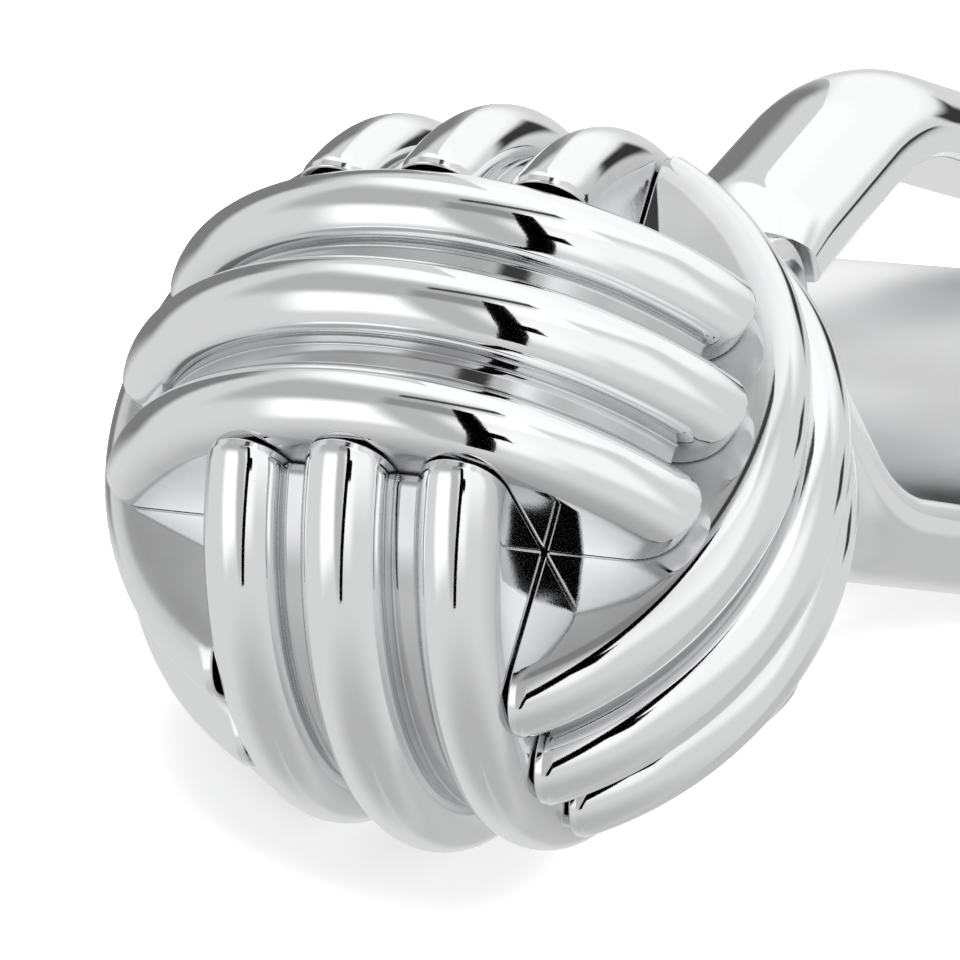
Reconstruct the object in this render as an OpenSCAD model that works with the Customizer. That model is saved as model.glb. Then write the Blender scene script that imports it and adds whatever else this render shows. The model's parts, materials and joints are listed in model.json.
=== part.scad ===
// Round knot cufflink of ribbed bands, with a hinged flat stirrup and a swivelling round toggle bar.
// Millimetres. It rests on the knot, the lower end of the stirrup and one end of the toggle bar.

/* [Knot] */
// Radius of the ball that the rib crests follow
ball_r = 6.25; // [6:0.05:6.5]
// Distance from one rib to the next in a band
rib_pitch = 1.8; // [1.75:0.01:1.85]
// Radius of the round crown of a rib
rib_r = 0.72; // [0.66:0.01:0.78]
// Radius at the floor of the grooves between the ribs
groove_floor_r = 5.42; // [5.3:0.02:5.5]
// Distance of each end of a band from the middle of the band
rib_end = 5.25; // [5.2:0.05:5.5]
// Gap at the seams where one band meets another
seam = 0.03; // [0.02:0.01:0.05]

/* [Hinge] */
// Distance of the hinge pin from the centre of the knot
hinge_reach = 7.8; // [7.8:0.05:8]
// Radius of the hinge pin
hinge_pin_r = 0.45; // [0.35:0.05:0.5]
// Radius of the stirrup knuckle on the hinge pin
knuckle_r = 1; // [0.95:0.05:1.05]
// Width of the knuckle, between the ears
knuckle_width = 1.8; // [1.6:0.1:2]
// Distance from the hinge pin within which the strap is no wider than the knuckle
neck_reach = 1.15; // [1.15:0.05:1.3]
// Thickness of each ear
ear_thickness = 0.5; // [0.4:0.05:0.6]
// Height of each ear where it leaves the foot
ear_root = 1.5; // [1.2:0.1:1.6]
// Gap between the knuckle and each ear
ear_gap = 0.1; // [0.06:0.01:0.15]
// Radius of the round foot under the ears
foot_r = 2.4; // [2.2:0.1:2.6]
// Height of the top of the foot from the centre of the knot
foot_top = 6.55; // [6.5:0.05:6.6]

/* [Stirrup] */
// Width of the strap
strap_width = 3.4; // [3.2:0.1:3.6]
// Height of the flat sides of the strap
strap_edge = 0.66; // [0.6:0.02:0.7]
// Rise of the domed outer face over the sides
strap_crown = 1.02; // [0.9:0.02:1.04]
// Distance from the hinge pin at which the inner faces of the legs meet
crotch_reach = 0.67; // [0.6:0.01:0.75]
// Angle of each leg to the middle line of the stirrup
leg_spread = 37.8; // [36:0.1:39]
// Half of the gap between the inner faces of the arms
window_half = 3.25; // [3.2:0.01:3.3]
// Inner radius of the shoulder bends
bend_r = 3.5; // [3.3:0.1:3.6]
// Distance from the hinge pin to the toggle pin
toggle_reach = 12.3; // [12.2:0.05:12.6]

/* [Toggle] */
// Radius of the toggle bar
toggle_r = 2.45; // [2.3:0.05:2.45]
// Length of the toggle bar
toggle_length = 15; // [14:0.1:15]
// Radius of the rounded edge at each end of the bar
toggle_edge_r = 1.1; // [1:0.1:1.3]
// Distance of the bar below the middle of the arms
toggle_drop = 0.7; // [0.6:0.01:0.7]
// Angle by which the bar is turned from straight across the arms
toggle_turn = 30; // [25:1:35]
// Radius of the collar between the bar and the upper arm
collar_r = 1.1; // [0.9:0.05:1.3]
// Gap between the bar or its collar and each arm
arm_gap = 0.1; // [0.06:0.01:0.15]
// Radius of the toggle pin
toggle_pin_r = 0.5; // [0.4:0.05:0.55]

/* [Rest pose] */
// Slope of the stirrup below the line through knot and hinge pin
stirrup_drop = 29.85; // [29:0.05:31]
// Rise of the hinge pin as seen from the centre of the knot
hinge_rise = 7.05; // [6:0.05:8]
// Roll of the whole piece onto the far end of the toggle bar
rest_roll = -28.08; // [-30:0.01:-26]
// Pitch of the whole piece onto the end of the stirrup
rest_pitch = -5.58; // [-7:0.01:-4]
// Centre of the knot, from the middle of the space the piece takes up
knot_x = -9.01; // [-10:0.01:-8]
// Centre of the knot, sideways
knot_y = 1.57; // [1:0.01:2]
// Height of the centre of the knot over the surface
knot_z = 6.272; // [6:0.001:6.5]

/* [Hidden] */
$fn = 96;
band_half = rib_pitch + rib_r;
silver = [0.86, 0.87, 0.88];
steel = [0.72, 0.73, 0.75];
running = 0.02;
fixed = 0.01;
lap = 0.25;
bend_swell = 0.02;
arm_end = toggle_reach + strap_width / 2;
arm_face = window_half + strap_edge + strap_crown;
ear_in = knuckle_width / 2 + ear_gap;
ear_out = ear_in + ear_thickness;
pin_head = 0.2;
pin_sink = 0.09;
crown_r = (strap_width * strap_width / 4 + strap_crown * strap_crown) / (2 * strap_crown);
bend_cut = bend_r * tan(leg_spread / 2);
leg_length = window_half / sin(leg_spread) - bend_cut;
bend_reach = crotch_reach + window_half / tan(leg_spread) + bend_cut;

// Piece as it rests, from the centre of the knot
module rest_frame() {
    translate([knot_x, knot_y, knot_z])
        rotate([rest_roll, rest_pitch, 0])
            children();
}

// Knot turned about its own centre, with the front band along +Z
module knot_frame() {
    rest_frame()
        rotate([41, 6, -79.5])
            children();
}

// Hinge pin axis along Y, with X pointing straight away from the knot
module hinge_frame() {
    rest_frame()
        rotate([0, -hinge_rise, 0])
            translate([hinge_reach, 0, 0])
                children();
}

// Stirrup with X from the hinge pin to the toggle and Z across the arms
module stirrup_frame() {
    hinge_frame()
        rotate([0, stirrup_drop, 0])
            children();
}

// Half section of one band, outwards along X and across the ribs along Y
module band_section() {
    wall = band_half - seam / 2;
    translate([0, -wall])
        square([groove_floor_r, 2 * wall]);
    for (rib = [-1, 0, 1]) {
        crown_r = rib == 0 ? rib_r : rib_r - seam / 2;
        crown_at = sqrt(ball_r * ball_r - rib * rib * rib_pitch * rib_pitch) - crown_r;
        translate([0, rib * rib_pitch - crown_r])
            square([crown_at, 2 * crown_r]);
        intersection() {
            translate([crown_at, rib * rib_pitch])
                circle(r = crown_r);
            translate([0, -ball_r])
                square([ball_r, 2 * ball_r]);
        }
    }
}

// One visible stretch of band: turn picks its axis and flip its far side
module band(turn, flip) {
    color(silver)
        knot_frame()
            rotate(a = 120 * turn, v = [1, 1, 1])
                rotate([flip ? 180 : 0, 0, 0])
                    intersection() {
                        rotate([90, 0, 0])
                            rotate_extrude()
                                band_section();
                        translate([-rib_end, -ball_r, band_half + seam / 2])
                            cube([2 * rib_end, 2 * ball_r, ball_r]);
                    }
}

module knot_core() {
    color(silver)
        knot_frame()
            cube(2 * band_half - seam, center = true);
}

module band_front() {
    band(0, false);
}

module band_back() {
    band(0, true);
}

module band_right() {
    band(1, false);
}

module band_left() {
    band(1, true);
}

module band_top() {
    band(2, false);
}

module band_bottom() {
    band(2, true);
}

// Round bar along Y, centred on the origin
module cross_bar(r, length) {
    rotate([90, 0, 0])
        cylinder(r = r, h = length, center = true);
}

// Foot shaped to the knot, with two ears for the hinge pin
module hinge_lug() {
    color(silver)
        hinge_frame()
            difference() {
                union() {
                    translate([-hinge_reach, 0, 0])
                        rotate([0, 90, 0])
                            cylinder(r = foot_r, h = foot_top);
                    for (side = [-1, 1])
                        translate([0, side * (ear_in + ear_out) / 2, 0]) {
                            translate([-hinge_reach / 2, 0, 0])
                                cube([hinge_reach, ear_thickness, ear_root], center = true);
                            cross_bar(knuckle_r, ear_thickness);
                        }
                }
                translate([-hinge_reach, 0, 0])
                    sphere(r = ball_r + running);
                translate([-hinge_reach / 2, 0, 0])
                    cube([hinge_reach, 2 * ear_in, 2 * knuckle_r + 0.4], center = true);
                cross_bar(hinge_pin_r + fixed, 4 * ear_out);
            }
}

// Riveted pin through both ears and the knuckle
module hinge_pin() {
    color(steel)
        hinge_frame() {
            cross_bar(hinge_pin_r, 2 * ear_out + 2 * running);
            for (side = [-1, 1])
                translate([0, side * (ear_out + running + pin_head / 2), 0])
                    cross_bar(hinge_pin_r + pin_head, pin_head);
        }
}

// Section of the strap, flat inner face at X = 0 and outer face domed, with a slight swell for the bends
module strap_section(swell) {
    translate([-swell, -strap_width / 2 - swell])
        square([strap_edge + swell, strap_width + 2 * swell]);
    intersection() {
        translate([strap_edge + strap_crown - crown_r, 0])
            circle(r = crown_r + swell);
        translate([strap_edge / 2, -strap_width / 2 - swell])
            square([strap_edge + strap_crown, strap_width + 2 * swell]);
    }
}

// Straight stretch of strap from a point on its inner face
module strap_run(from, angle, length) {
    translate([from[0], from[1], 0])
        rotate([90, 0, 90 + angle])
            linear_extrude(length)
                strap_section(0);
}

// One leg, bend and arm of the stirrup, with the middle line along X and the arm on the +Y side
module strap_side() {
    strap_run([crotch_reach, 0], leg_spread, leg_length + lap);
    translate([bend_reach, window_half - bend_r, 0])
        intersection() {
            rotate_extrude()
                translate([bend_r, 0])
                    strap_section(bend_swell);
            linear_extrude(2 * strap_width, center = true)
                polygon([[0, 0], [0, 2 * arm_face], 2 * arm_face * [-sin(leg_spread), cos(leg_spread)]]);
        }
    strap_run([bend_reach - lap, window_half], 0, arm_end - bend_reach + lap);
}

// Forked strap, necked down to a knuckle at the hinge, and rounded ends at the toggle
module stirrup() {
    color(silver)
        stirrup_frame()
            difference() {
                intersection() {
                    union() {
                        cross_bar(knuckle_r, knuckle_width);
                        rotate([90, 0, 0]) {
                            strap_side();
                            mirror([0, 1, 0])
                                strap_side();
                        }
                    }
                    union() {
                        translate([-strap_width, -strap_width, -2 * arm_face])
                            cube([toggle_reach + strap_width, 2 * strap_width, 4 * arm_face]);
                        translate([toggle_reach, 0, 0])
                            cylinder(r = strap_width / 2, h = 4 * arm_face, center = true);
                    }
                }
                cross_bar(hinge_pin_r + running, 2 * strap_width);
                for (side = [-1, 1])
                    translate([0, side * (knuckle_width / 2 + strap_width), 0])
                        cross_bar(neck_reach, 2 * strap_width);
                translate([toggle_reach, 0, 0])
                    cylinder(r = toggle_pin_r + fixed, h = 4 * arm_face, center = true);
            }
}

// Pin across the arms, ending just under their outer faces
module toggle_pin() {
    color(steel)
        stirrup_frame()
            translate([toggle_reach, 0, 0])
                cylinder(r = toggle_pin_r, h = 2 * (arm_face - pin_sink), center = true);
}

// Half section of the bar, outwards along X and lengthways along Y
module toggle_section() {
    edge_at = toggle_length / 2 - toggle_edge_r;
    translate([0, -edge_at])
        square([toggle_r, 2 * edge_at]);
    translate([0, -toggle_length / 2])
        square([toggle_r - toggle_edge_r, toggle_length]);
    for (side = [-1, 1])
        translate([toggle_r - toggle_edge_r, side * edge_at])
            circle(r = toggle_edge_r);
}

// Round bar between the arms, with a collar up to the upper arm, turning on its pin
module toggle() {
    color(silver)
        stirrup_frame()
            translate([toggle_reach, 0, -toggle_drop])
                rotate([0, 0, toggle_turn])
                    difference() {
                        union() {
                            rotate([90, 0, 0])
                                rotate_extrude()
                                    toggle_section();
                            cylinder(r = collar_r, h = window_half + toggle_drop - arm_gap);
                        }
                        cylinder(r = toggle_pin_r + running, h = 4 * toggle_r, center = true);
                    }
}

knot_core();
band_front();
band_back();
band_right();
band_left();
band_top();
band_bottom();
hinge_lug();
hinge_pin();
stirrup();
toggle_pin();
toggle();
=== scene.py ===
import json
import math
import bmesh
import bpy
from mathutils import Matrix, Vector


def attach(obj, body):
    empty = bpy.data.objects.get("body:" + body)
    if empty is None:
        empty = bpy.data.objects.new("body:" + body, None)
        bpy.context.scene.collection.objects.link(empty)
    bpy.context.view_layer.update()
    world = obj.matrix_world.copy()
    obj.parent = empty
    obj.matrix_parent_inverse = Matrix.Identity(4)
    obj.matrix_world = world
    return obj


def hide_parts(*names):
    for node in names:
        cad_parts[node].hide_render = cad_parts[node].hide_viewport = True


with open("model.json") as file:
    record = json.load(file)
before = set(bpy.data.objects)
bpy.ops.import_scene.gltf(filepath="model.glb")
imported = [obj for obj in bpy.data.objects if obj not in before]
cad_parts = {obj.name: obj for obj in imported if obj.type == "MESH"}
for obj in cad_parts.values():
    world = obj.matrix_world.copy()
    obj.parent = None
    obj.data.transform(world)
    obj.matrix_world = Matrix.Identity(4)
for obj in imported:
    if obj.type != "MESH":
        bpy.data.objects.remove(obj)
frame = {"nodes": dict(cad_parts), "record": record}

mm = 0.001
sharpFrom = math.radians(40)
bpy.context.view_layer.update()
joints = {row["name"]: row for row in frame["record"]["behaviour"]["joints"]}
print("frame loaded")


# A socket that can be used in sums like a number
class Field:
    def __init__(self, graph, socket):
        self.graph = graph
        self.socket = socket

    def __add__(self, other):
        return self.graph.math("ADD", self, other)

    def __radd__(self, other):
        return self.graph.math("ADD", other, self)

    def __sub__(self, other):
        return self.graph.math("SUBTRACT", self, other)

    def __rsub__(self, other):
        return self.graph.math("SUBTRACT", other, self)

    def __mul__(self, other):
        return self.graph.math("MULTIPLY", self, other)

    def __rmul__(self, other):
        return self.graph.math("MULTIPLY", other, self)

    def __truediv__(self, other):
        return self.graph.math("DIVIDE", self, other)

    def __rtruediv__(self, other):
        return self.graph.math("DIVIDE", other, self)

    def __neg__(self):
        return self.graph.math("MULTIPLY", self, -1.0)

    def __gt__(self, other):
        return self.graph.math("GREATER_THAN", self, other)

    def __lt__(self, other):
        return self.graph.math("LESS_THAN", self, other)

    def __mod__(self, other):
        return self.graph.math("MODULO", self, other)


# Makes nodes in one tree, shader or geometry
class Graph:
    def __init__(self, tree):
        self.tree = tree

    def node(self, kind, settings=None, values=None, out=0):
        made = self.tree.nodes.new(kind)
        for name, value in (settings or {}).items():
            setattr(made, name, value)
        for name, value in (values or {}).items():
            if isinstance(value, Field):
                self.tree.links.new(value.socket, made.inputs[name])
            else:
                made.inputs[name].default_value = value
        return Field(self, made.outputs[out]) if len(made.outputs) else made

    def math(self, operation, *terms):
        return self.node("ShaderNodeMath", {"operation": operation}, dict(enumerate(terms)))


# Joint axes give the stirrup's own directions: along it, across it, and from arm to arm
swivelAt = Vector(joints["toggle_swivel"]["pos_m"])
hingeAt = Vector(joints["stirrup_hinge"]["pos_m"])
armToArm = Vector(joints["toggle_swivel"]["axis"]).normalized()
across = -Vector(joints["stirrup_hinge"]["axis"]).normalized()
across = (across - armToArm * across.dot(armToArm)).normalized()
along = across.cross(armToArm)


def frameAt(x, y, z, origin):
    turned = Matrix((x, y, z)).transposed().to_4x4()
    turned.translation = origin
    return turned


stirrupFrame = frameAt(along, across, armToArm, hingeAt)
swivelReach = (swivelAt - hingeAt).dot(along)


def newObject(name, mesh):
    made = bpy.data.objects.new(name, mesh)
    bpy.context.scene.collection.objects.link(made)
    return made


# The object's modifiers become its plain mesh
def applied(obj):
    graph = bpy.context.evaluated_depsgraph_get()
    mesh = bpy.data.meshes.new_from_object(obj.evaluated_get(graph))
    obj.modifiers.clear()
    old = obj.data
    obj.data = mesh
    bpy.data.meshes.remove(old)
    mesh.name = obj.name
    return obj


sliver = 0.0006 * mm


# Closes the slivers that a bevel or a boolean leaves
def welded(obj):
    weld = obj.modifiers.new("slivers", "WELD")
    weld.merge_threshold = sliver
    return applied(obj)


def softened(obj, width, degrees, segments=3):
    bevel = obj.modifiers.new("edges", "BEVEL")
    bevel.width = width
    bevel.segments = segments
    bevel.limit_method = "ANGLE"
    bevel.angle_limit = math.radians(degrees)
    bevel.harden_normals = True
    bevel.use_clamp_overlap = True
    return welded(obj)


def smooth(mesh):
    mesh.polygons.foreach_set("use_smooth", [True] * len(mesh.polygons))
    mesh.update()


def placed(obj, material, body, slotName, *nodes):
    obj.data.materials.clear()
    obj.data.materials.append(material)
    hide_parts(*nodes)
    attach(obj, body)
    return obj


silverLook = {
    "colour": (0.90, 0.905, 0.91, 1.0),
    "roughness": 0.045,
    "smearRoughness": 0.05,
    "smearSize": 0.9,
    "scratchDepth": 0.012,
    "scratchSize": 0.35,
    "dimpleDepth": 0.006,
    "wallRoughness": 0.4,
    # Painted shade on the groove floors: its strength and its colour
    "paintedGrooveShade": 0.5,
    "paintedGrooveShadeColour": (0.42, 0.42, 0.43, 1.0),
}
satinLook = {
    "colour": (0.97, 0.972, 0.975, 1.0),
    "roughness": 0.45,
    "smearRoughness": 0.04,
    "smearSize": 1.2,
    "scratchDepth": 0.03,
    "scratchSize": 0.3,
    "dimpleDepth": 0.0,
    "wallRoughness": 0.0,
    "paintedGrooveShade": 0.0,
    "paintedGrooveShadeColour": (0.42, 0.42, 0.43, 1.0),
}
steelLook = {
    "colour": (0.66, 0.67, 0.69, 1.0),
    "roughness": 0.16,
    "smearRoughness": 0.08,
    "smearSize": 0.5,
    "scratchDepth": 0.05,
    "scratchSize": 0.12,
    "dimpleDepth": 0.01,
    "wallRoughness": 0.0,
    "paintedGrooveShade": 0.0,
    "paintedGrooveShadeColour": (0.42, 0.42, 0.43, 1.0),
}


# The satin of a side wall starts this steeply at its edge, and smears take this much of the colour
wallSteepness = 14.0
smearShare = 0.1
smearColour = (0.93, 0.93, 0.94, 1.0)


# Metal with wiping marks in the roughness, hairlines in two directions, faint dimples and painted shade on
# the groove floors
def polishedMetal(name, look):
    material = bpy.data.materials.new(name)
    material.use_nodes = True
    material.node_tree.nodes.clear()
    graph = Graph(material.node_tree)
    place = graph.node("ShaderNodeTexCoord", out="Object")
    smears = graph.node("ShaderNodeTexNoise", None,
                        {"Vector": place, "Scale": 1 / (look["smearSize"] * mm), "Detail": 4.0,
                         "Distortion": 0.6})
    worn = graph.node("ShaderNodeTexNoise", None,
                      {"Vector": place, "Scale": 0.25 / (look["smearSize"] * mm), "Detail": 2.0})
    hairs = 0.0
    for turn in ((0.3, 0.2, 0.9), (1.2, 0.7, 2.2)):
        stretched = graph.node("ShaderNodeMapping", None,
                               {"Vector": place, "Rotation": turn, "Scale": (0.06, 1.0, 1.0)})
        hair = graph.node("ShaderNodeTexNoise", None,
                          {"Vector": stretched, "Scale": 8 / (look["scratchSize"] * mm), "Detail": 2.0})
        hairs = hair * 0.5 + hairs
    dimples = graph.node("ShaderNodeTexNoise", None, {"Vector": place, "Scale": 0.8 / mm, "Detail": 1.0})
    wall = graph.node("ShaderNodeAttribute", {"attribute_name": "satinWall"}, out="Fac")
    satinWall = graph.math("MINIMUM", wall * wallSteepness, 1.0) * look["wallRoughness"]
    roughness = look["roughness"] + look["smearRoughness"] * (smears - 0.45) * worn + satinWall
    fine = graph.node("ShaderNodeBump", None,
                      {"Strength": look["scratchDepth"], "Distance": 0.02 * mm, "Height": hairs})
    bumped = graph.node("ShaderNodeBump", None,
                        {"Strength": look["dimpleDepth"], "Distance": 0.2 * mm, "Height": dimples,
                         "Normal": fine})
    tint = graph.node("ShaderNodeMix", {"data_type": "RGBA", "blend_type": "MULTIPLY"},
                      {0: smears * smearShare, 6: look["colour"], 7: smearColour}, out=2)
    # Painted shade: the colour goes darker where the recess attribute marks the groove floors
    recess = graph.node("ShaderNodeAttribute", {"attribute_name": "recess"}, out="Fac")
    paintedGrooveShade = recess * look["paintedGrooveShade"] * (0.7 + smears * 0.6)
    tint = graph.node("ShaderNodeMix", {"data_type": "RGBA"},
                      {0: paintedGrooveShade, 6: tint, 7: look["paintedGrooveShadeColour"]}, out=2)
    shader = graph.node("ShaderNodeBsdfPrincipled", None,
                        {"Base Color": tint, "Roughness": roughness, "Normal": bumped, "Metallic": 1.0})
    graph.node("ShaderNodeOutputMaterial", None, {"Surface": shader})
    return material


silver = polishedMetal("polishedSilver", silverLook)
satin = polishedMetal("satinSilver", satinLook)
steel = polishedMetal("pinSteel", steelLook)
print("metals made")

knot = {
    "centre": (-9.01, 1.57, 6.272),
    "restTurn": (-28.08, -5.58, 0.0),
    "ownTurn": (41.0, 6.0, -79.5),
    "ballRadius": 6.25,
    "ribPitch": 1.8,
    "ribRadius": 0.72,
    "grooveFloor": 5.42,
    "seam": 0.03,
    "stepsAlong": 81,
    "stepsAround": 21,
    "endHeight": 0.15,
    "frontHeight": 0.6,
    "frontUndercut": 0.35,
    "edge": 0.06,
    "edgeDegrees": 35,
    "weldReach": 0.0008,
    "arcShare": 0.9,
    "meetingStart": 0.36,
    "meetingEnd": 0.46,
}


knotSizes = ("ballRadius", "ribPitch", "ribRadius", "grooveFloor", "seam",
             "endHeight", "frontHeight", "frontUndercut")
knotSteps = ("stepsAlong", "stepsAround")


# Half-round ribs on a ball: one band of three ribs, set out six times
def bandTree():
    tree = bpy.data.node_groups.new("knotBands", "GeometryNodeTree")
    for name in knotSizes:
        tree.interface.new_socket(name, in_out="INPUT", socket_type="NodeSocketFloat")
    for name in knotSteps:
        tree.interface.new_socket(name, in_out="INPUT", socket_type="NodeSocketInt")
    for name in ("centre", "turn"):
        tree.interface.new_socket(name, in_out="INPUT", socket_type="NodeSocketVector")
    tree.interface.new_socket("metal", in_out="INPUT", socket_type="NodeSocketMaterial")
    tree.interface.new_socket("Geometry", in_out="OUTPUT", socket_type="NodeSocketGeometry")
    graph = Graph(tree)
    inputNode = tree.nodes.new("NodeGroupInput")
    given = {socket.name: Field(graph, socket) for socket in inputNode.outputs if socket.name}
    steps = given["stepsAround"]
    ball = given["ballRadius"]
    rowsPerRib = steps + 2.0
    rows = rowsPerRib * 3.0
    grid = graph.node("GeometryNodeMeshGrid", None,
                      {"Size X": 1.0, "Size Y": 1.0, "Vertices X": given["stepsAlong"], "Vertices Y": rows})
    row = graph.node("GeometryNodeInputIndex") % rows
    rib = graph.math("FLOOR", (row + 0.01) / rowsPerRib)
    step = row - rib * rowsPerRib
    rib = rib - 1.0
    side = graph.math("ABSOLUTE", rib)
    radius = given["ribRadius"] - side * given["seam"] * 0.5
    offset = rib * given["ribPitch"]
    middle = graph.math("SQRT", ball * ball - offset * offset) - radius
    low = graph.math("MAXIMUM", (given["grooveFloor"] - middle) / radius, 0.0)
    inner = graph.math("ARCCOSINE", low)
    spare = math.pi / 2 - inner
    start = -(inner + spare * (rib < -0.5))
    end = inner + spare * (rib > 0.5)
    share = graph.node("ShaderNodeClamp", None, {"Value": (step - 1.0) / (steps - 1.0)})
    angle = start + share * (end - start)
    foot = (step < 0.5) + (step > steps + 0.5)
    wallFoot = foot * (rib * (step - (steps + 1.0) * 0.5) > 0.1)
    arch = middle + radius * graph.math("COSINE", angle)
    reach = arch + foot * (1.0 - wallFoot) * (given["grooveFloor"] - arch)
    plane = given["ribPitch"] + given["ribRadius"] + given["seam"] * 0.5
    place = graph.node("GeometryNodeInputPosition")
    t = graph.node("ShaderNodeSeparateXYZ", None, {"Vector": place}, out="X") * 2.0
    run = graph.math("ABSOLUTE", t)
    arc = graph.math("MINIMUM", run / knot["arcShare"], 1.0)
    drop = graph.math("MAXIMUM", (run - knot["arcShare"]) / (1.0 - knot["arcShare"]), 0.0)
    # 1 on the groove floors, fading to 0 half a rib radius up; the metal paints shade there
    depth = graph.node("ShaderNodeMapRange", None, {
        "Value": reach, "From Min": given["grooveFloor"] + 0.5 * given["ribRadius"],
        "From Max": given["grooveFloor"]})
    # Where the ribs of the next band meet the side wall
    meeting = graph.node("ShaderNodeMapRange", None, {
        "Value": run, "From Min": knot["meetingEnd"], "From Max": knot["meetingStart"]})

    # A strip whose upper end is cut off at that height over the foot and undercut by that much
    def strip(endHeight, undercut):
        height = plane + (t > 0.0) * (endHeight - given["endHeight"]) + given["endHeight"]
        corner = graph.math("ARCCOSINE", height / reach)
        out = reach * graph.math("SINE", corner * arc)
        high = reach * graph.math("COSINE", corner * arc)
        footReach = reach * graph.math("SINE", corner) - (t > 0.0) * undercut
        x = (out + drop * (footReach - out)) * (1.0 - wallFoot) + run * footReach * wallFoot
        z = high + graph.math("MAXIMUM", drop, wallFoot) * (plane - high)
        spot = graph.node("ShaderNodeCombineXYZ", None, {
            "X": x * graph.math("SIGN", t), "Y": offset + radius * graph.math("SINE", angle), "Z": z})
        marked = grid
        for name, value in (("recess", depth * (1.0 - wallFoot)), ("satinWall", wallFoot * meeting)):
            marked = graph.node("GeometryNodeStoreNamedAttribute", {"data_type": "FLOAT", "domain": "POINT"},
                                {"Geometry": marked, "Name": name, "Value": value})
        return graph.node("GeometryNodeSetPosition", None, {"Geometry": marked, "Position": spot})

    number = graph.node("GeometryNodeInputIndex")
    pair = graph.math("FLOOR", number * 0.5 + 0.01)
    flipped = graph.node("ShaderNodeCombineXYZ", None, {"X": (number - pair * 2.0) * math.pi})
    turned = graph.node("FunctionNodeEulerToRotation", None, {"Euler": flipped})
    diagonal = graph.node("FunctionNodeAxisAngleToRotation", None,
                          {"Axis": (1.0, 1.0, 1.0), "Angle": pair * (math.tau / 3)})
    turned = graph.node("FunctionNodeRotateRotation", {"rotation_space": "GLOBAL"},
                        {"Rotation": turned, "Rotate By": diagonal})
    whole = graph.node("FunctionNodeEulerToRotation", None, {"Euler": given["turn"]})
    turned = graph.node("FunctionNodeRotateRotation", {"rotation_space": "GLOBAL"},
                        {"Rotation": turned, "Rotate By": whole})
    spots = graph.node("GeometryNodePoints", None, {"Count": 6, "Position": given["centre"]})
    front = graph.node("GeometryNodeInstanceOnPoints", None, {
        "Points": spots, "Selection": number < 0.5, "Rotation": turned,
        "Instance": strip(given["frontHeight"], given["frontUndercut"])})
    others = graph.node("GeometryNodeInstanceOnPoints", None, {
        "Points": spots, "Selection": number > 0.5, "Rotation": turned,
        "Instance": strip(given["endHeight"], 0.0)})
    joined = tree.nodes.new("GeometryNodeJoinGeometry")
    for part in (others, front):
        tree.links.new(part.socket, joined.inputs[0])
    real = graph.node("GeometryNodeRealizeInstances", None, {"Geometry": Field(graph, joined.outputs[0])})
    done = graph.node("GeometryNodeSetMaterial", None, {"Geometry": real, "Material": given["metal"]})
    graph.node("NodeGroupOutput", None, {"Geometry": done})
    return tree


def knotTurn():
    own = Matrix.Identity(3)
    for turns in (knot["restTurn"], knot["ownTurn"]):
        for axis, degrees in zip("ZYX", reversed(turns)):
            own = own @ Matrix.Rotation(math.radians(degrees), 3, axis)
    return own


def makeBands():
    obj = newObject("knotBands", bpy.data.meshes.new("knotBands"))
    modifier = obj.modifiers.new("bands", "NODES")
    tree = bandTree()
    modifier.node_group = tree
    values = {name: knot[name] * mm for name in knotSizes}
    values.update({name: knot[name] for name in knotSteps})
    values["centre"] = Vector(knot["centre"]) * mm
    values["turn"] = knotTurn().to_euler("XYZ")
    values["metal"] = silver
    for item in tree.interface.items_tree:
        if item.name in values:
            modifier[item.identifier] = values[item.name]
    applied(obj)
    shape = bmesh.new()
    shape.from_mesh(obj.data)
    bmesh.ops.remove_doubles(shape, verts=shape.verts, dist=knot["weldReach"] * mm)
    edges = [edge for edge in shape.edges if edge.is_boundary]
    bmesh.ops.holes_fill(shape, edges=edges, sides=0)
    bmesh.ops.recalc_face_normals(shape, faces=shape.faces)
    shape.to_mesh(obj.data)
    shape.free()
    smooth(obj.data)
    softened(obj, knot["edge"] * mm, knot["edgeDegrees"])
    return placed(obj, silver, "knot", "polished_silver",
                  "band_front", "band_back", "band_right", "band_left", "band_top", "band_bottom")


bands = makeBands()
print("bands made", len(bands.data.polygons))

strap = {
    "width": 3.4,
    "edge": 0.66,
    "crown": 1.02,
    "crotch": 0.67,
    "spread": 37.8,
    "window": 3.25,
    "bend": 3.5,
    "neck": 0.8,
    "neckLength": 1.4,
    "apart": 0.004,
    "innerRound": 0.16,
    "rimRound": 0.1,
    "knuckle": 1.0,
    "knuckleWidth": 1.8,
    "neckReach": 1.15,
    "knuckleBore": 0.47,
    "pinBore": 0.51,
    "clear": 8.0,
    "knuckleRound": 0.12,
    "sliver": 0.001,
    "domeSteps": 22,
    "roundSteps": 6,
    "legSteps": 16,
    "bendSteps": 24,
    "armSteps": 10,
    "tipSteps": 26,
    "tipTurn": 88.5,
    "legEasing": 1.3,
}


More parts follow.
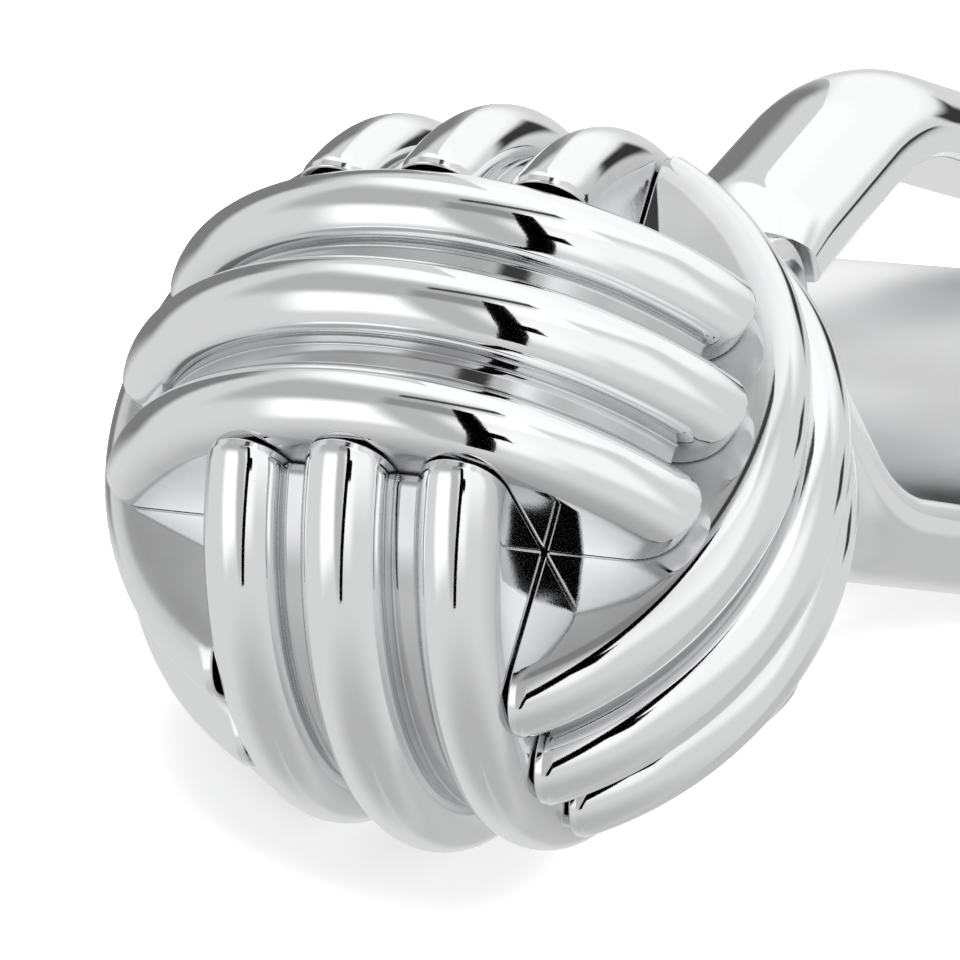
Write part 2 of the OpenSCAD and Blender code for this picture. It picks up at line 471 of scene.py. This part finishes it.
# Half outline of the D-shaped section, from the middle of the inner face to the top of the dome
def strapSection(half):
    crown = strap["crown"]
    full = strap["width"] / 2
    domeRadius = (full * full + crown * crown) / (2 * crown)
    domeMiddle = strap["edge"] + crown - domeRadius

    def dome(u):
        return domeMiddle + math.sqrt(domeRadius * domeRadius - u * u)

    inner = min(strap["innerRound"], 0.45 * half)
    rim = min(strap["rimRound"], 0.45 * half)
    points = [(0.0, 0.0), (0.5 * (half - inner), 0.0)]
    steps = strap["roundSteps"]
    for i in range(steps):
        turn = math.radians(90 * i / (steps - 1))
        points.append((half - inner + inner * math.sin(turn), inner - inner * math.cos(turn)))
    rimEnd = (half - rim, dome(half - rim))
    for i in range(steps):
        t = i / (steps - 1)
        low = (half, dome(half) - rim)
        corner = (half, dome(half))
        points.append(tuple((1 - t) ** 2 * a + 2 * t * (1 - t) * b + t * t * c
                            for a, b, c in zip(low, corner, rimEnd)))
    for i in range(1, strap["domeSteps"] + 1):
        u = (half - rim) * (1 - i / strap["domeSteps"])
        points.append((u, dome(u)))
    return points


# Stations along one leg, bend and arm: inner point, outward direction, half width and neck
def strapStations():
    spread = math.radians(strap["spread"])
    cut = strap["bend"] * math.tan(spread / 2)
    legLength = strap["window"] / math.sin(spread) - cut
    bendReach = strap["crotch"] + strap["window"] / math.tan(spread) + cut
    half = strap["width"] / 2
    outward = Vector((-math.sin(spread), math.cos(spread)))
    forward = Vector((math.cos(spread), math.sin(spread)))
    stations = []
    count = strap["legSteps"]
    for i in range(count):
        s = legLength * (i / count) ** strap["legEasing"]
        t = min(s / strap["neckLength"], 1.0)
        neck = strap["neck"] + (1 - strap["neck"]) * t * t * (3 - 2 * t)
        stations.append((Vector((strap["crotch"], 0.0)) + forward * s, outward, half, neck))
    middle = Vector((bendReach, strap["window"] - strap["bend"]))
    count = strap["bendSteps"]
    for i in range(count):
        turn = spread * (1 - i / count)
        normal = Vector((-math.sin(turn), math.cos(turn)))
        stations.append((middle + normal * strap["bend"], normal, half, 1.0))
    reach = swivelReach / mm
    count = strap["armSteps"]
    for i in range(count):
        x = bendReach + (reach - bendReach) * i / count
        stations.append((Vector((x, strap["window"])), Vector((0.0, 1.0)), half, 1.0))
    count = strap["tipSteps"]
    for i in range(count):
        turn = math.radians(strap["tipTurn"] * i / (count - 1))
        x = reach + half * math.sin(turn)
        stations.append((Vector((x, strap["window"])), Vector((0.0, 1.0)), half * math.cos(turn), 1.0))
    return stations


def addStrapSide(shape, sign):
    rings = []
    for point, normal, half, neck in strapStations():
        outline = strapSection(half)
        outline = outline + [(-u, v) for u, v in reversed(outline[1:-1])]
        ring = []
        for u, v in outline:
            spot = point + normal * v * neck
            ring.append(shape.verts.new((spot.x * mm, u * mm, sign * (spot.y + strap["apart"]) * mm)))
        rings.append(ring)
    for near, far in zip(rings, rings[1:]):
        for i in range(len(near)):
            j = (i + 1) % len(near)
            shape.faces.new((near[i], near[j], far[j], far[i]))
    shape.faces.new(rings[0])
    shape.faces.new(rings[-1])


# Ring turned about Y from a rounded rectangle between two radii
def addRing(shape, inside, outside, half, corner, count=72):
    outline = []
    for r, y, quarter in ((outside - corner, half - corner, 0), (inside + corner, half - corner, 1),
                          (inside + corner, corner - half, 2), (outside - corner, corner - half, 3)):
        for i in range(5):
            turn = math.radians(90 * (quarter + i / 4))
            outline.append((r + corner * math.cos(turn), y + corner * math.sin(turn)))
    rings = []
    for k in range(count):
        turn = math.tau * k / count
        rings.append([shape.verts.new((r * math.cos(turn) * mm, y * mm, r * math.sin(turn) * mm))
                      for r, y in outline])
    for k in range(count):
        near, far = rings[k], rings[(k + 1) % count]
        for i in range(len(outline)):
            j = (i + 1) % len(outline)
            shape.faces.new((near[i], near[j], far[j], far[i]))


# Cylinder along Z, as a cutter or a collar
def rodMesh(name, radius, low, high, count=72):
    shape = bmesh.new()
    bmesh.ops.create_cone(shape, cap_ends=True, segments=count, radius1=radius * mm, radius2=radius * mm,
                          depth=(high - low) * mm, matrix=Matrix.Translation((0, 0, (low + high) / 2 * mm)))
    mesh = bpy.data.meshes.new(name)
    shape.to_mesh(mesh)
    shape.free()
    return mesh


def combine(obj, mesh, operation):
    other = newObject("cutter", mesh)
    change = obj.modifiers.new("combine", "BOOLEAN")
    change.operation = operation
    change.solver = "EXACT"
    change.object = other
    applied(obj)
    bpy.data.objects.remove(other)
    bpy.data.meshes.remove(mesh)


def intoPlace(obj, matrix):
    obj.data.transform(matrix)
    obj.data.update()


def makeStirrup():
    shape = bmesh.new()
    addStrapSide(shape, 1)
    addStrapSide(shape, -1)
    bmesh.ops.recalc_face_normals(shape, faces=shape.faces)
    mesh = bpy.data.meshes.new("stirrup")
    shape.to_mesh(mesh)
    shape.free()
    obj = newObject("forkedStirrup", mesh)
    cutter = rodMesh("pinBore", strap["pinBore"], -strap["clear"], strap["clear"])
    cutter.transform(Matrix.Translation((swivelReach, 0, 0)))
    combine(obj, cutter, "DIFFERENCE")
    for side in (-1, 1):
        near = strap["knuckleWidth"] / 2
        cutter = rodMesh("neck", strap["neckReach"], near, near + strap["width"])
        cutter.transform(Matrix.Rotation(side * math.pi / 2, 4, "X"))
        combine(obj, cutter, "DIFFERENCE")
    shape = bmesh.new()
    shape.from_mesh(obj.data)
    bmesh.ops.triangulate(shape, faces=[face for face in shape.faces if len(face.verts) > 4])
    bmesh.ops.dissolve_degenerate(shape, dist=strap["sliver"] * mm, edges=shape.edges)
    addRing(shape, strap["knuckleBore"], strap["knuckle"], strap["knuckleWidth"] / 2, strap["knuckleRound"])
    bmesh.ops.recalc_face_normals(shape, faces=shape.faces)
    shape.to_mesh(obj.data)
    shape.free()
    welded(obj)
    smooth(obj.data)
    obj.data.set_sharp_from_angle(angle=sharpFrom)
    intoPlace(obj, stirrupFrame)
    return placed(obj, silver, "stirrup", "polished_silver", "stirrup")


stirrup = makeStirrup()
print("stirrup made", len(stirrup.data.polygons))

toggle = {
    "radius": 2.45,
    "length": 15.0,
    "edge": 1.1,
    "drop": 0.7,
    "turn": 30.0,
    "collar": 1.1,
    "collarFoot": 0.3,
    "gap": 0.1,
    "bore": 0.52,
    "clear": 6.0,
    "capSteps": 6,
    "edgeSteps": 12,
    "around": 120,
}


# Revolved bar with rounded ends, a bore for the pin and a collar up to the upper arm
def makeToggle():
    shape = bmesh.new()
    half = toggle["length"] / 2
    edge = toggle["edge"]
    flat = toggle["radius"] - edge
    steps = toggle["edgeSteps"]
    outline = [(flat * i / toggle["capSteps"], half) for i in range(toggle["capSteps"] + 1)]
    for i in range(1, steps + 1):
        turn = math.radians(90 * i / steps)
        outline.append((flat + edge * math.sin(turn), half - edge + edge * math.cos(turn)))
    for i in range(1, steps + 1):
        outline.append((toggle["radius"], (half - edge) * (1 - i / steps)))
    outline = outline + [(r, -y) for r, y in reversed(outline[:-1])]
    count = toggle["around"]
    rings = []
    for r, y in outline:
        if r == 0:
            rings.append([shape.verts.new((0, y * mm, 0))])
        else:
            turns = [math.tau * k / count for k in range(count)]
            rings.append([shape.verts.new((r * math.cos(turn) * mm, y * mm, r * math.sin(turn) * mm))
                          for turn in turns])
    for near, far in zip(rings, rings[1:]):
        for k in range(count):
            n = (k + 1) % count
            if len(near) == 1:
                shape.faces.new((near[0], far[k], far[n]))
            elif len(far) == 1:
                shape.faces.new((near[k], near[n], far[0]))
            else:
                shape.faces.new((near[k], near[n], far[n], far[k]))
    bmesh.ops.recalc_face_normals(shape, faces=shape.faces)
    mesh = bpy.data.meshes.new("toggle")
    shape.to_mesh(mesh)
    shape.free()
    obj = newObject("toggleBar", mesh)
    collarTop = strap["window"] + toggle["drop"] - toggle["gap"]
    combine(obj, rodMesh("collar", toggle["collar"], toggle["collarFoot"], collarTop), "UNION")
    combine(obj, rodMesh("bore", toggle["bore"], -toggle["clear"], toggle["clear"]), "DIFFERENCE")
    welded(obj)
    smooth(obj.data)
    obj.data.set_sharp_from_angle(angle=sharpFrom)
    turned = Matrix.Rotation(math.radians(toggle["turn"]), 4, "Z")
    intoPlace(obj, frameAt(along, across, armToArm, swivelAt) @ turned)
    return placed(obj, satin, "bar", "polished_silver", "toggle")


bar = makeToggle()
print("toggle made", len(bar.data.polygons))

# Softened copies of the small CAD pieces, which arrive as loose triangles
trim = {
    "hinge_lug": ("hingeLug", "knot", satin, "polished_silver", 0.1),
    "hinge_pin": ("hingePin", "knot", steel, "pin_steel", 0.05),
    "toggle_pin": ("togglePin", "stirrup", steel, "pin_steel", 0.05),
}


trimDegrees = 38
flatDegrees = 0.6


def refined(node, name, body, metal, slotName, width):
    source = frame["nodes"][node].data
    shape = bmesh.new()
    shape.from_mesh(source)
    bmesh.ops.remove_doubles(shape, verts=shape.verts, dist=0.0005 * mm)
    bmesh.ops.dissolve_limit(shape, angle_limit=math.radians(flatDegrees), verts=shape.verts,
                             edges=shape.edges)
    bmesh.ops.recalc_face_normals(shape, faces=shape.faces)
    mesh = bpy.data.meshes.new(name)
    shape.to_mesh(mesh)
    shape.free()
    obj = newObject(name, mesh)
    smooth(mesh)
    softened(obj, width * mm, trimDegrees)
    return placed(obj, metal, body, slotName, node)


for node, facts in trim.items():
    refined(node, *facts)
core = frame["nodes"]["knot_core"]
for place in core.material_slots:
    place.material = silver
print("hinge and pins made")

# Soft boxes and flags on the studio dome, by direction from the camera's side. Each card has its name,
# degrees right and up, half width, half height, roll, softness of its edge and tone
studio = {
    "base": 0.72,
    "domeSize": 0.7,
    "floorColour": (0.93, 0.93, 0.93, 1.0),
    "floorGrainColour": (0.9, 0.9, 0.9, 1.0),
    "floorGrain": 900.0,
    "floorGlow": 0.45,
    "topLight": 4.0,
    "topLightSize": 0.5,
    "topLightHeight": 0.4,
    "gap": {"at": -5.6, "lean": 0.12, "curve": 0.005, "halfWidth": 4.2, "middle": 2.0,
            "halfHeight": 39.0},
    "cards": [
        ("topBox", 40.0, 80.0, 180.0, 18.0, 0.0, 14.0, 1.1),
        ("highRightBox", 62.0, 56.0, 40.0, 11.0, 0.0, 8.0, 1.1),
        ("rightBackBox", 130.0, 50.0, 50.0, 18.0, 0.0, 16.0, 1.05),
        ("lowRightBack", 135.0, -34.0, 34.0, 18.0, 0.0, 16.0, 0.56),
        ("upperLeftGrey", -48.0, 38.0, 44.0, 20.0, 0.0, 18.0, 0.48),
        ("backLeftGrey", -152.0, 26.0, 27.0, 24.0, 0.0, 14.0, 0.22),
        ("frontRightBox", 28.0, 12.0, 28.0, 22.0, 0.0, 18.0, 1.02),
        ("centreBox", 1.0, -3.0, 12.0, 20.0, 0.0, 18.0, 1.08),
        ("keyBox", 16.0, 38.0, 14.0, 9.0, -10.0, 8.0, 1.25),
        ("leftBox", -50.0, -3.0, 18.0, 20.0, 0.0, 14.0, 1.2),
        ("middleGrey", -23.0, 2.0, 9.0, 36.0, -6.0, 9.0, 0.52),
        ("highGrey", -18.0, 32.0, 13.0, 8.0, 0.0, 7.0, 0.3),
        ("highGap", 0.0, 53.0, 26.0, 2.8, -8.0, 2.0, 0.06),
        ("backGap", 136.0, 24.0, 12.0, 6.0, 0.0, 6.0, 0.04),
        ("rimGap", 111.0, 9.0, 6.0, 5.0, 0.0, 3.0, 0.05),
        ("lens", -1.1, 1.2, 5.2, 5.2, 0.0, 1.0, 0.0),
        ("nadir", 0.0, -90.0, 180.0, 36.0, 0.0, 40.0, 0.5),
    ],
}


def makeFloor():
    shape = bmesh.new()
    bmesh.ops.create_grid(shape, x_segments=8, y_segments=8, size=0.8 * studio["domeSize"])
    mesh = bpy.data.meshes.new("floor")
    shape.to_mesh(mesh)
    shape.free()
    obj = newObject("floor", mesh)
    material = bpy.data.materials.new("paleFloor")
    material.use_nodes = True
    shader = material.node_tree.nodes["Principled BSDF"]
    graph = Graph(material.node_tree)
    place = graph.node("ShaderNodeTexCoord", out="Object")
    grain = graph.node("ShaderNodeTexNoise", None,
                       {"Vector": place, "Scale": studio["floorGrain"], "Detail": 3.0})
    tone = graph.node("ShaderNodeMix", {"data_type": "RGBA"},
                      {0: grain * 0.2, 6: studio["floorColour"], 7: studio["floorGrainColour"]}, out=2)
    graph.tree.links.new(tone.socket, shader.inputs["Base Color"])
    shader.inputs["Roughness"].default_value = 0.9
    shader.inputs["Emission Strength"].default_value = studio["floorGlow"]
    shader.inputs["Specular IOR Level"].default_value = 0.1
    mesh.materials.append(material)
    obj.visible_glossy = False


# The dome's own directions are the camera's: right, up and towards the camera
def makeDome(right, up, back):
    shape = bmesh.new()
    bmesh.ops.create_icosphere(shape, subdivisions=5, radius=studio["domeSize"])
    bmesh.ops.reverse_faces(shape, faces=shape.faces)
    mesh = bpy.data.meshes.new("dome")
    shape.to_mesh(mesh)
    shape.free()
    smooth(mesh)
    obj = newObject("dome", mesh)
    material = bpy.data.materials.new("studioDome")
    material.use_nodes = True
    material.node_tree.nodes.clear()
    graph = Graph(material.node_tree)
    place = graph.node("ShaderNodeTexCoord", out="Object")
    place = graph.node("ShaderNodeVectorMath", {"operation": "NORMALIZE"}, {0: place})
    parts = [graph.node("ShaderNodeVectorMath", {"operation": "DOT_PRODUCT"},
                        {0: place, 1: tuple(axis)}, out="Value") for axis in (right, up, back)]
    turn = graph.math("ARCTAN2", parts[0], parts[2]) * (180 / math.pi)
    rise = graph.math("ARCSINE", parts[1]) * (180 / math.pi)
    tone = turn * 0.0 + studio["base"]
    for name, turnAt, riseAt, halfWidth, halfHeight, roll, soft, level in studio["cards"]:
        x = turn - turnAt
        y = rise - riseAt
        c = math.cos(math.radians(roll))
        s = math.sin(math.radians(roll))
        sideways = graph.math("ABSOLUTE", x * c - y * s)
        upwards = graph.math("ABSOLUTE", x * s + y * c)
        mask = 1.0
        for reach, half in ((sideways, halfWidth), (upwards, halfHeight)):
            fade = graph.node("ShaderNodeMapRange", {"interpolation_type": "SMOOTHSTEP"},
                              {"Value": reach, "From Min": half - soft * 0.5, "From Max": half + soft * 0.5,
                               "To Min": 1.0, "To Max": 0.0})
            mask = fade * mask
        tone = tone + mask * (level - tone)
    gap = studio["gap"]
    below = graph.math("MINIMUM", rise, 0.0)
    aside = graph.math("ABSOLUTE", turn - gap["at"] - rise * gap["lean"] + below * below * gap["curve"])
    aloft = graph.math("ABSOLUTE", rise - gap["middle"])
    inGap = (aside < gap["halfWidth"]) * (aloft < gap["halfHeight"])
    tone = tone * (1.0 - inGap)
    light = graph.node("ShaderNodeEmission", None, {"Color": (1.0, 1.0, 1.0, 1.0), "Strength": tone})
    graph.node("ShaderNodeOutputMaterial", None, {"Surface": light})
    mesh.materials.append(material)
    material.cycles.emission_sampling = "NONE"


# Light on the floor alone, from straight above
def makeTopLight():
    data = bpy.data.lights.new("topLight", "AREA")
    data.size = studio["topLightSize"]
    data.energy = studio["topLight"]
    obj = bpy.data.objects.new("topLight", data)
    bpy.context.scene.collection.objects.link(obj)
    obj.location = (0.0, 0.0, studio["topLightHeight"])
    obj.visible_glossy = False


def makeWorld():
    world = bpy.data.worlds.new("studio")
    bpy.context.scene.world = world
    world.use_nodes = True
    background = world.node_tree.nodes["Background"]
    background.inputs["Color"].default_value = (1.0, 1.0, 1.0, 1.0)
    background.inputs["Strength"].default_value = studio["base"]


cameraFacts = {
    "toCamera": (-0.8256, -0.3508, 0.4419),
    "right": (0.5112, -0.7966, 0.3227),
    "distance": 70.0,
    "lens": 157.5,
    "shift": (-0.003, -0.001),
    "clip": (0.001, 10.0),
}


def makeCamera(right, up, back):
    data = bpy.data.cameras.new("camera")
    data.lens = cameraFacts["lens"]
    data.sensor_width = 36.0
    data.shift_x, data.shift_y = cameraFacts["shift"]
    data.clip_start, data.clip_end = cameraFacts["clip"]
    obj = bpy.data.objects.new("camera", data)
    bpy.context.scene.collection.objects.link(obj)
    place = (Vector(knot["centre"]) + back * cameraFacts["distance"]) * mm
    obj.matrix_world = frameAt(right, up, back, place)
    bpy.context.scene.camera = obj


cameraBack = Vector(cameraFacts["toCamera"]).normalized()
cameraRight = Vector(cameraFacts["right"])
cameraRight = (cameraRight - cameraBack * cameraRight.dot(cameraBack)).normalized()
cameraUp = cameraBack.cross(cameraRight)
makeFloor()
makeDome(cameraRight, cameraUp, cameraBack)
makeTopLight()
makeWorld()
makeCamera(cameraRight, cameraUp, cameraBack)
bpy.context.scene.view_settings.view_transform = "Standard"
print("studio made")
